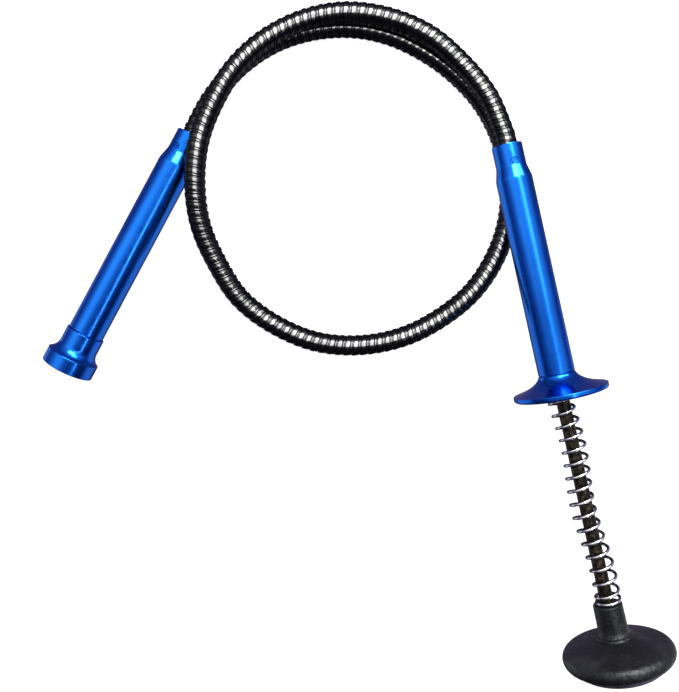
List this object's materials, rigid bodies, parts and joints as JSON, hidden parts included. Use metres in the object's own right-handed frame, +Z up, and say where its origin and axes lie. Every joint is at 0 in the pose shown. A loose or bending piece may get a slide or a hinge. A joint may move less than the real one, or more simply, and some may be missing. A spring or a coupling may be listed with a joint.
{
  "type": "drain auger",
  "caption": "Flexible gooseneck drain and pick-up claw: a sprung thumb plunger in the grip pushes hooked claws out of the nose.",
  "frame": {"origin": "centre of the bounding box of the tool without its hose and cable, on the surface it lies on", "axes": "+Z up from the surface; -Y towards the thumb button end; -X towards the nose"},
  "size_m": [0.2338, 0.2494, 0.0404],
  "materials": {
    "anodised_blue": "bright blue anodised, glossy turned aluminium",
    "gooseneck_black": "black plated, glossy wound steel",
    "claw_black": "blackened spring steel strip",
    "rod_brown": "browned steel rod and bush",
    "spring_bright": "bright nickel-plated spring wire",
    "plain_steel": "plain steel",
    "brass": "turned brass",
    "button_rubber": "satin black moulded rubber"
  },
  "bodies": {
    "root": {"grip_tube": "anodised_blue", "grip_flange": "anodised_blue", "rod_bush": "rod_brown", "grip_set_screw": "gooseneck_black", "return_spring": "spring_bright", "gooseneck_hose": "gooseneck_black", "push_cable": "plain_steel", "head_tube": "anodised_blue", "nose_bezel": "anodised_blue", "head_set_screw": "gooseneck_black"},
    "plunger": {"thumb_button": "button_rubber", "button_insert": "brass", "plunger_rod": "rod_brown", "rod_stop": "plain_steel"},
    "claw_carriage": {"claw_carrier": "brass", "claw_clamp_ring": "plain_steel", "cable_end_sleeve": "plain_steel"},
    "claw_1": {"claw_1": "claw_black"},
    "claw_2": {"claw_2": "claw_black"},
    "claw_3": {"claw_3": "claw_black"},
    "claw_4": {"claw_4": "claw_black"}
  },
  "joints": [
    {"name": "plunger_press", "type": "slide", "parent": "root", "child": "plunger", "axis": [-0.2078, 0.9777, -0.0286], "range_m": [0, 0.036], "stiffness_N_per_m": 300, "springref_m": -0.02, "deforming": ["return_spring"]},
    {"name": "claw_extend", "type": "slide", "parent": "root", "child": "claw_carriage", "axis": [-0.4694, -0.8829, 0.0087], "range_m": [0, 0.0365]},
    {"name": "claw_1_open", "type": "hinge", "parent": "claw_carriage", "child": "claw_1", "pos_m": [-0.09111, 0.04673, 0.01125], "axis": [-0.6272, 0.3265, -0.7071], "range_deg": [0, 26.5]},
    {"name": "claw_2_open", "type": "hinge", "parent": "claw_carriage", "child": "claw_2", "pos_m": [-0.09113, 0.0467, 0.00785], "axis": [0.6214, -0.3374, -0.7071], "range_deg": [0, 26.5]},
    {"name": "claw_3_open", "type": "hinge", "parent": "claw_carriage", "child": "claw_3", "pos_m": [-0.08813, 0.04511, 0.00785], "axis": [0.6272, -0.3265, 0.7071], "range_deg": [0, 26.5]},
    {"name": "claw_4_open", "type": "hinge", "parent": "claw_carriage", "child": "claw_4", "pos_m": [-0.08812, 0.04513, 0.01125], "axis": [-0.6214, 0.3374, 0.7071], "range_deg": [0, 26.5]}
  ],
  "couplings": [
    {"joint": "claw_extend", "follows": "plunger_press", "ratio": 1},
    {"joint": "claw_1_open", "follows": "plunger_press", "rad_per_m": 12.605},
    {"joint": "claw_2_open", "follows": "plunger_press", "rad_per_m": 12.605},
    {"joint": "claw_3_open", "follows": "plunger_press", "rad_per_m": 12.605},
    {"joint": "claw_4_open", "follows": "plunger_press", "rad_per_m": 12.605}
  ]
}
